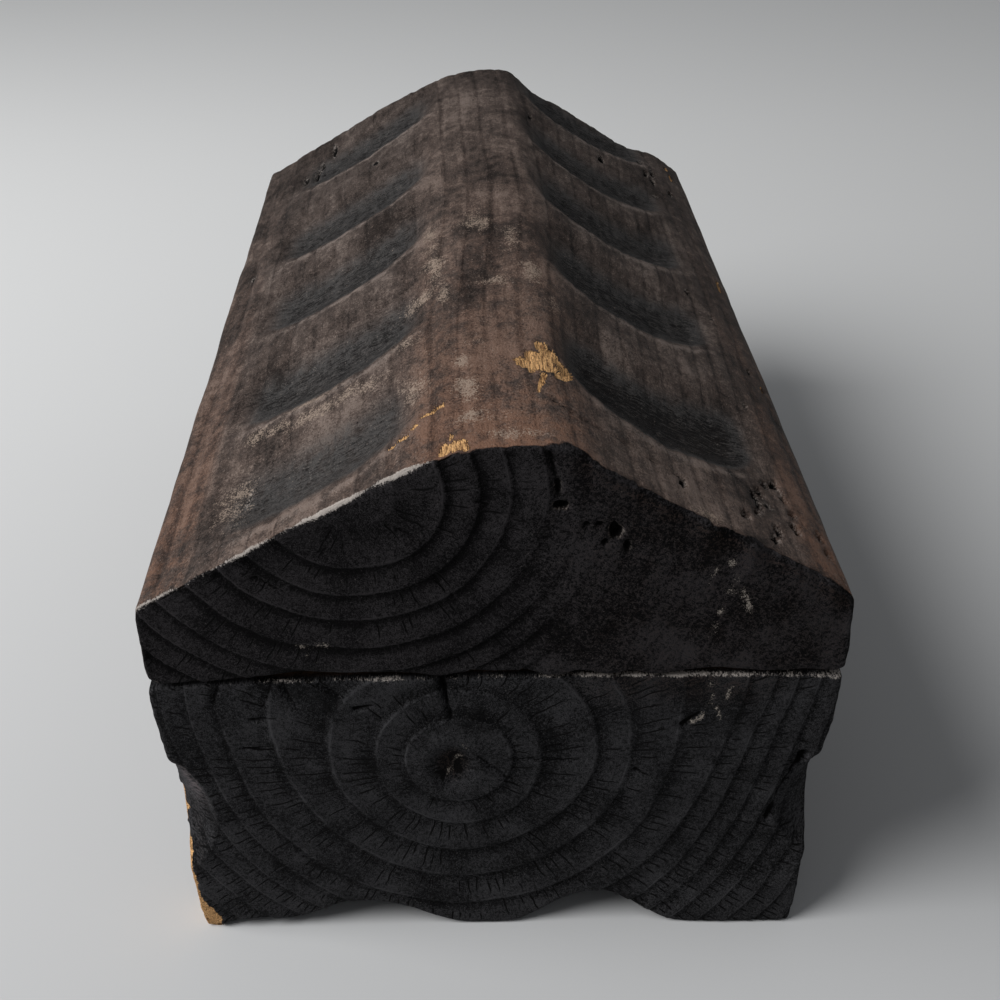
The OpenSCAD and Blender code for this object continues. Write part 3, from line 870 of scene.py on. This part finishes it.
class Graph:
    """The node tree of one material; x, y and z are the place in millimetres before the pose moves it"""

    def __init__(self, name, colours=None):
        self.material = bpy.data.materials.new(name)
        self.material.use_nodes = True
        self.tree = self.material.node_tree
        self.shader = self.tree.nodes["Principled BSDF"]
        self.colours = colours
        place = self.parts("SeparateXYZ", self.node("Object", "TexCoord"))
        self.x, self.y, self.z = (part * 1000 for part in place)

    def node(self, output, kind, inputs=(), **settings):
        """Makes a node and returns one of its outputs"""
        made = self.tree.nodes.new("ShaderNode" + kind)
        for key, value in settings.items():
            setattr(made, key, value)
        for key, value in dict(inputs).items():
            self.put(made.inputs[key], value)
        return Value(self, made.outputs[output])

    def put(self, socket, value):
        if isinstance(value, Value):
            self.tree.links.new(value.socket, socket)
        else:
            socket.default_value = value

    def math(self, operation, a, b=0.0):
        return self.node(0, "Math", {0: a, 1: b}, operation=operation)

    def mark(self, name):
        return self.node("Fac", "Attribute", attribute_name=name)

    def step(self, value, lo, hi):
        inputs = {"Value": value, "From Min": lo, "From Max": hi}
        return self.node("Result", "MapRange", inputs, interpolation_type="SMOOTHSTEP")

    def parts(self, kind, value):
        """The three parts of a place or a colour"""
        first = self.node(0, kind, {0: value})
        return [Value(self, first.socket.node.outputs[i]) for i in range(3)]

    def noise(self, x, y, z, detail=2.0, roughness=0.5):
        vector = self.node(0, "CombineXYZ", {0: x, 1: y, 2: z})
        inputs = {"Vector": vector, "Scale": 1.0, "Detail": detail, "Roughness": roughness}
        return self.node("Fac", "TexNoise", inputs)

    def grain(self, sx, sy, sz, detail=2.0, roughness=0.5):
        """Noise over the place, with these many lumps to a millimetre along each axis"""
        return self.noise(self.x * sx, self.y * sy, self.z * sz, detail, roughness)

    def scatter(self, a, b):
        """Three numbers from 0 to 1 for each pair of whole numbers"""
        vector = self.node(0, "CombineXYZ", {0: a, 1: b, 2: 0.5})
        return self.parts("SeparateColor", self.node("Color", "TexWhiteNoise", {"Vector": vector}))

    def mix(self, factor, a, b):
        """Mixes two colours: values, names in the table of colours, or numbers"""
        a, b = (self.colours[v] if isinstance(v, str) else v for v in (a, b))
        a, b = (v if isinstance(v, Value) else (*v, 1) for v in (a, b))
        return self.node(2, "Mix", {0: factor, 6: a, 7: b}, data_type="RGBA")

    def finish(self, colour, roughness, height):
        """Sets what varies over the surface; height is in millimetres"""
        bump = self.node(0, "Bump", {"Height": height, "Distance": MM, "Strength": 1.0})
        for name, value in (("Base Color", colour), ("Roughness", roughness), ("Normal", bump)):
            self.put(self.shader.inputs[name], value)
        return self.material


def end_grain(g, pith):
    """Charred end grain: its colour, the height of its bumps, and a fine noise that marks share"""
    ring, shown = g.mark("ring"), g.mark("shown")
    n = g.math("FLOOR", ring)
    f = ring - n
    dx, dz = g.x - pith[0], g.z - pith[1]
    r = g.math("SQRT", dx * dx + dz * dz + 0.01)
    ux, uz = g.math("DIVIDE", dx, r), g.math("DIVIDE", dz, r)
    k = n * 3.2 + 4.2
    # Radial checks, at most one to each of the places round a ring
    places = n * 24 + 16
    turn = g.math("ARCTAN2", dz, dx) * (0.5 / math.pi) + 0.5
    at = turn * places + g.noise(g.x * 0.3, n * 7.3, g.z * 0.3, 3.0).swing(0.7)
    cell = g.math("FLOOR", at)
    middle, start, chance = g.scatter(cell, n)
    off = g.math("ABSOLUTE", at - cell - middle * 0.5 - 0.25) * g.math("DIVIDE", r * (2 * math.pi), places)
    first, last = start * 0.3, middle * 0.4
    part = g.step(f, first, first + 0.08) * (1 - g.step(f, last + 0.35, last + 0.6))
    sound, crowd = g.colours["sound"], g.grain(0.07, 0.05, 0.07)
    found = g.step(chance + crowd.swing(2.6), sound, sound + 0.08) * g.step(n, 0.0, 1.0) * shown
    checks = (1 - g.step(off, 0.05, 0.2)) * part * found
    # Noises: rays run out from the pith
    rays = g.noise(ux * k * 7, f * 3.5 + n * 3.3, uz * k * 7, 3.0)
    speck = g.grain(5.0, 0.8, 5.0, 3.0, 0.7)
    grain = g.grain(2.1, 0.4, 2.1, 4.0, 0.7)
    broad = g.grain(0.13, 0.1, 0.13, 3.0)
    # Each ring has a painted highlight on its crest and painted shade on the soft wood outside it, from the
    # ring called clear on
    line = g.step(grain * 0.4 + broad * 0.6, 0.44, 0.58) * shown
    crest = (1 - g.step(g.math("MINIMUM", f, 1 - f), 0.0, 0.05)) * line
    valley_shade = g.step(f, 0.03, 0.09) * (1 - g.step(f, 0.12, 0.5)) * shown
    clear = g.step(ring, g.colours["clear"] - 1.5, g.colours["clear"]) * g.colours["relief"]
    rough = 3.6 - shown * 1.8
    tone = 0.45 + rays.swing(0.5) + speck.swing(2.6) + grain.swing(rough) + broad.swing(rough) * 0.6
    tone = tone + (crest * 0.5 - valley_shade * 0.22) * clear
    colour = g.mix(g.step(tone, 0.0, 1.0), "char", "ash")
    warm = g.mark("warm") * g.step(grain * 0.7 + rays * 0.3 + speck.swing(0.5), 0.46, 0.6)
    colour = g.mix(warm * 0.7, colour, "tan")
    colour = g.mix(g.step(speck * 0.8 + grain * 0.2, 0.63, 0.7) * 0.45, colour, "dust")
    pores = 1 - g.step(grain * 0.4 + speck * 0.6, 0.36, 0.42)
    colour = g.mix(g.math("MAXIMUM", checks, pores * 0.8), colour, "void")
    height = rays * 0.08 + speck * 0.14 + grain * 0.24 - checks * 0.45 - pores * 0.08 + crest * 0.1
    return colour, height, speck


def long_grain(g):
    """Dark worn wood along the fibres: its colour, the height of its bumps, and noises that marks share"""
    ring, worn, floor, crest = (g.mark(n) for n in ("ring", "worn", "floor", "crest"))
    n = g.math("FLOOR", ring)
    f = ring - n
    fibre = g.grain(0.9, 0.06, 0.9, 4.0, 0.65)
    hair = g.grain(4.6, 0.3, 4.6, 3.0, 0.6)
    cloud = g.grain(0.08, 0.05, 0.08, 4.0, 0.6)
    blot = g.grain(0.45, 0.32, 0.45, 4.0, 0.66)
    grit = g.grain(2.6, 1.9, 2.6, 4.0, 0.7)
    fleck = g.grain(3.6, 2.8, 3.6, 1.0, 0.6)
    strokes = g.grain(0.45, 2.6, 0.45, 3.0, 0.65)
    band = g.noise(n * 1.7, g.y * 0.012, f * 0.2, 1.0)
    ringline = 1 - g.step(g.math("MINIMUM", f, 1 - f) + fibre.swing(0.3), 0.0, 0.12)
    # Lighter crests in front of the hollows are wear and a painted highlight; the hollow floors are painted a
    # little darker as shade, and the strokes over them are painted glossy grey streaks of reflection
    fine = grit.swing(1.7) + fleck.swing(0.6) + strokes.swing(floor * 2.6 + 0.3) + hair.swing(0.12)
    tone = worn + crest * (blot * 2.4 - 0.75) - floor * 0.1 - ringline * 0.18 + band.swing(0.7) + fine
    tone = tone + fibre.swing(0.35) + cloud.swing(1.9) + blot.swing(1.5)
    colour = g.mix(g.step(tone, -0.2, 0.6), "dark", "brown")
    colour = g.mix(g.step(tone, 0.42, 1.15), colour, "worn")
    warm = g.mark("russet") * g.step(blot * 0.5 + cloud * 0.5, 0.34, 0.58)
    colour = g.mix(warm * 0.9, colour, g.mix(g.step(tone, 0.0, 1.0), "russet_dark", "russet"))
    # Dark floors of the hollows: soot, and painted shade that is strongest on the right slope, under a grey
    # painted sky reflection
    soot_and_sky_sheen = g.mix(g.step(1.0 - floor * 0.5 + fine * 0.7 + blot.swing(0.9), 0.22, 0.85), "soot", "soot_and_sky_sheen")
    soot_and_shade = floor * (blot * 1.4 + cloud * 0.8 + grit * 0.4 - 0.3)
    colour = g.mix(g.step(soot_and_shade, 0.12, 0.85) * 0.92, colour, soot_and_sky_sheen)
    # Seams, pits, scratches and rubbed patches
    seam = 1 - g.step(g.math("ABSOLUTE", fibre * 0.8 + hair * 0.2 - 0.42), 0.0, 0.007)
    colour = g.mix(seam * 0.2, colour, "dark")
    pits = 1 - g.step(grit * 0.8 + fleck * 0.2, 0.35, 0.41)
    colour = g.mix(pits * 0.6, colour, "soot")
    scratch = 1 - g.step(g.math("ABSOLUTE", blot * 0.5 + strokes * 0.5 - 0.5), 0.0, 0.006)
    scratch = scratch * g.step(grit, 0.5, 0.6)
    rub = g.math("MAXIMUM", g.step(fleck * 0.75 + grit * 0.25 + crest * 0.08, 0.63, 0.72), scratch * 0.6)
    colour = g.mix(rub * 0.6, colour, "dust")
    scuff = g.mark("scuff") * 0.5 + grit.swing(2.0) + blot.swing(1.2) + fleck.swing(1.4)
    colour = g.mix(g.step(scuff, 0.42, 0.85) * 0.8, colour, "rubbed")
    height = fibre * 0.05 + hair * 0.02 + grit * 0.34 + fleck * 0.06 + blot * 0.3 - seam * 0.05
    return colour, height + strokes * (floor * 0.3 + 0.06), fibre, hair, grit


SHEEN = 0.1


def wood(name, pith, colours):
    """Old softwood, charred on the ends and worn along the grain"""
    g = Graph(name, colours)
    end, inside = g.mark("end"), g.mark("inside")
    end_colour, end_height, speck = end_grain(g, pith)
    long_colour, long_height, fibre, hair, grit = long_grain(g)

    colour = g.mix(g.step(end + grit.swing(0.7), 0.3, 0.7), long_colour, end_colour)
    raw = g.mix(g.step(fibre * 0.5 + hair * 0.5, 0.3, 0.7), "raw_dark", "raw")
    colour = g.mix(g.step(inside, 0.3, 0.9), colour, raw)
    # Pale line along the worn edges: wear and a painted highlight
    line = g.step(g.mark("edge") * 0.9 + grit.swing(1.6) + speck.swing(1.0), 0.55, 0.9)
    colour = g.mix(line * 0.85, colour, "pale")
    pale = g.step(g.mark("pale") + grit.swing(2.6) + speck.swing(2.4), 0.7, 1.2)
    colour = g.mix(pale * 0.7, colour, "fibre")
    # Painted sheen on the left front notch facet, in purple-grey streaks
    cut = g.noise(g.x * 0.4, g.y * 0.4, (g.z + g.y * 0.7) * 2.2, 3.0)
    colour = g.mix(g.mark("facet_sheen") * g.step(cut, 0.36, 0.6) * 0.9, colour, "facet_sheen")
    chip = g.step(g.mark("chip") + grit.swing(0.7) + hair.swing(0.7), 0.47, 0.6)
    fresh = g.mix(g.step(hair * 0.9 + grit * 0.4, 0.52, 0.76), "fresh_dark", "fresh")
    colour = g.mix(chip, colour, fresh)
    hole = g.mark("hole") + grit.swing(0.5)
    lip = (1 - g.step(hole, 0.1, 0.5)) * g.step(grit, 0.47, 0.6) * (1 - end)
    colour = g.mix(lip * 0.4, colour, "pale")
    gap = g.math("MINIMUM", g.mark("crack") + grit.swing(0.3), hole)
    colour = g.mix(1 - g.step(gap, -0.12, 0.14), colour, "void")

    rough = 0.6 + grit.swing(0.5) + chip * 0.2 + inside * 0.15
    g.shader.inputs["Specular IOR Level"].default_value = SHEEN
    height = long_height + end * (end_height - long_height) + chip * (hair + grit) * 0.35
    return g.finish(colour, rough + end * (0.9 - rough), height)


# Linear colours by what they paint. A higher sound leaves fewer checks, and relief and clear set how
# strongly, and from which ring on, the rings get their painted highlights and painted shade.
SHARED = dict(
    void=(0.0025, 0.0022, 0.0022), pale=(0.50, 0.45, 0.41), fibre=(0.42, 0.37, 0.32),
    dust=(0.24, 0.21, 0.19), tan=(0.034, 0.021, 0.016), facet_sheen=(0.15, 0.125, 0.13), fresh=(0.92, 0.54, 0.24),
    fresh_dark=(0.20, 0.10, 0.045), raw=(0.20, 0.125, 0.072), raw_dark=(0.10, 0.058, 0.032),
    rubbed=(0.34, 0.265, 0.21), russet=(0.20, 0.103, 0.065), russet_dark=(0.05, 0.025, 0.017))
LID_COLOURS = dict(
    SHARED, sound=0.72, relief=1.9, clear=2.2, char=(0.001, 0.0008, 0.001), ash=(0.034, 0.031, 0.033),
    dark=(0.018, 0.013, 0.011), brown=(0.078, 0.060, 0.052), worn=(0.20, 0.163, 0.143),
    soot=(0.006, 0.0056, 0.0058), soot_and_sky_sheen=(0.064, 0.062, 0.061))
BASE_COLOURS = dict(
    SHARED, sound=0.4, relief=1.0, clear=0.0, char=(0.002, 0.002, 0.0022), ash=(0.048, 0.047, 0.050),
    dark=(0.012, 0.009, 0.008), brown=(0.050, 0.034, 0.027), worn=(0.12, 0.088, 0.07),
    soot=(0.012, 0.011, 0.011), soot_and_sky_sheen=(0.05, 0.046, 0.044))


def peg_wood():
    """Turned beech"""
    g = Graph("peg_wood")
    fibre = g.grain(0.9, 0.9, 0.08, 4.0, 0.6)
    fleck = g.grain(3.0, 3.0, 0.35)
    turned = g.grain(0.1, 0.1, 3.5, 1.0)
    colour = g.mix(g.step(fibre * 0.7 + fleck * 0.3, 0.3, 0.7), (0.24, 0.145, 0.075), (0.45, 0.31, 0.18))
    colour = g.mix(g.step(fleck, 0.62, 0.75) * 0.5, colour, (0.16, 0.09, 0.045))
    return g.finish(colour, fleck * 0.25 + 0.45, fibre * 0.08 + turned * 0.06)


base_wood = wood("charred_wood", BASE_PITH, BASE_COLOURS)
base = make_block("base_block", build_base(), base_marks, "base", base_wood)
lid_wood = wood("worn_dark_wood", LID_PITH, LID_COLOURS)
lid = make_block("lid_block", build_lid(), lid_marks, "lid", lid_wood)
turned_wood = peg_wood()
for peg in ("front_peg", "rear_peg"):
    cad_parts[peg].data.materials.clear()
    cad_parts[peg].data.materials.append(turned_wood)


# Floor, light and camera

FLOOR_HALF = 9.0
ground = bpy.data.meshes.new("floor")
corners = [(sx * FLOOR_HALF, sy * FLOOR_HALF, 0) for sx, sy in CORNERS]
ground.from_pydata(corners, [], [(0, 1, 2, 3)])
ground_piece = bpy.data.objects.new("floor", ground)
scene.collection.objects.link(ground_piece)
paper = Graph("pale_floor_painted_light")
# The floor is painted darker at the front and paler at the back: painted shade and light on a plain floor
back = paper.step(paper.y, -220.0, 420.0)
paper.put(paper.shader.inputs["Base Color"], paper.mix(back, (0.56, 0.565, 0.57), (0.93, 0.935, 0.93)))
paper.shader.inputs["Roughness"].default_value = 0.9
ground.materials.append(paper.material)

LAMP_PLACE, LAMP_TARGET = Vector((-0.644, -0.260, 0.70)), Vector((0, 0, 0.05))
lamp = bpy.data.lights.new("key", "AREA")
lamp.shape, lamp.size, lamp.energy = "DISK", 0.65, 9.4
holder = bpy.data.objects.new("key", lamp)
holder.location = LAMP_PLACE
holder.rotation_euler = (LAMP_TARGET - LAMP_PLACE).to_track_quat("-Z", "Y").to_euler()
scene.collection.objects.link(holder)
world = bpy.data.worlds.new("studio")
world.use_nodes = True
sky = world.node_tree.nodes["Background"].inputs
sky["Color"].default_value, sky["Strength"].default_value = (0.95, 0.97, 1.0, 1), 0.17
scene.world = world

# Camera, from the fit to the photograph: place in metres, turns in degrees
CAMERA_PLACE = (-0.005917, -0.282303, 0.211203)
YAW, PITCH, ROLL = (math.radians(a) for a in (1.967, 32.649, 0.1832))
lens = bpy.data.cameras.new("camera")
lens.sensor_width, lens.lens = 36.0, 49.33
camera = bpy.data.objects.new("camera", lens)
view = Matrix.Translation(CAMERA_PLACE)
for turn, axis in ((-YAW, "Z"), (math.pi / 2 - PITCH, "X"), (ROLL, "Z")):
    view = view @ Matrix.Rotation(turn, 4, axis)
camera.matrix_world = view
scene.collection.objects.link(camera)
scene.camera = camera
scene.view_settings.view_transform = "Standard"
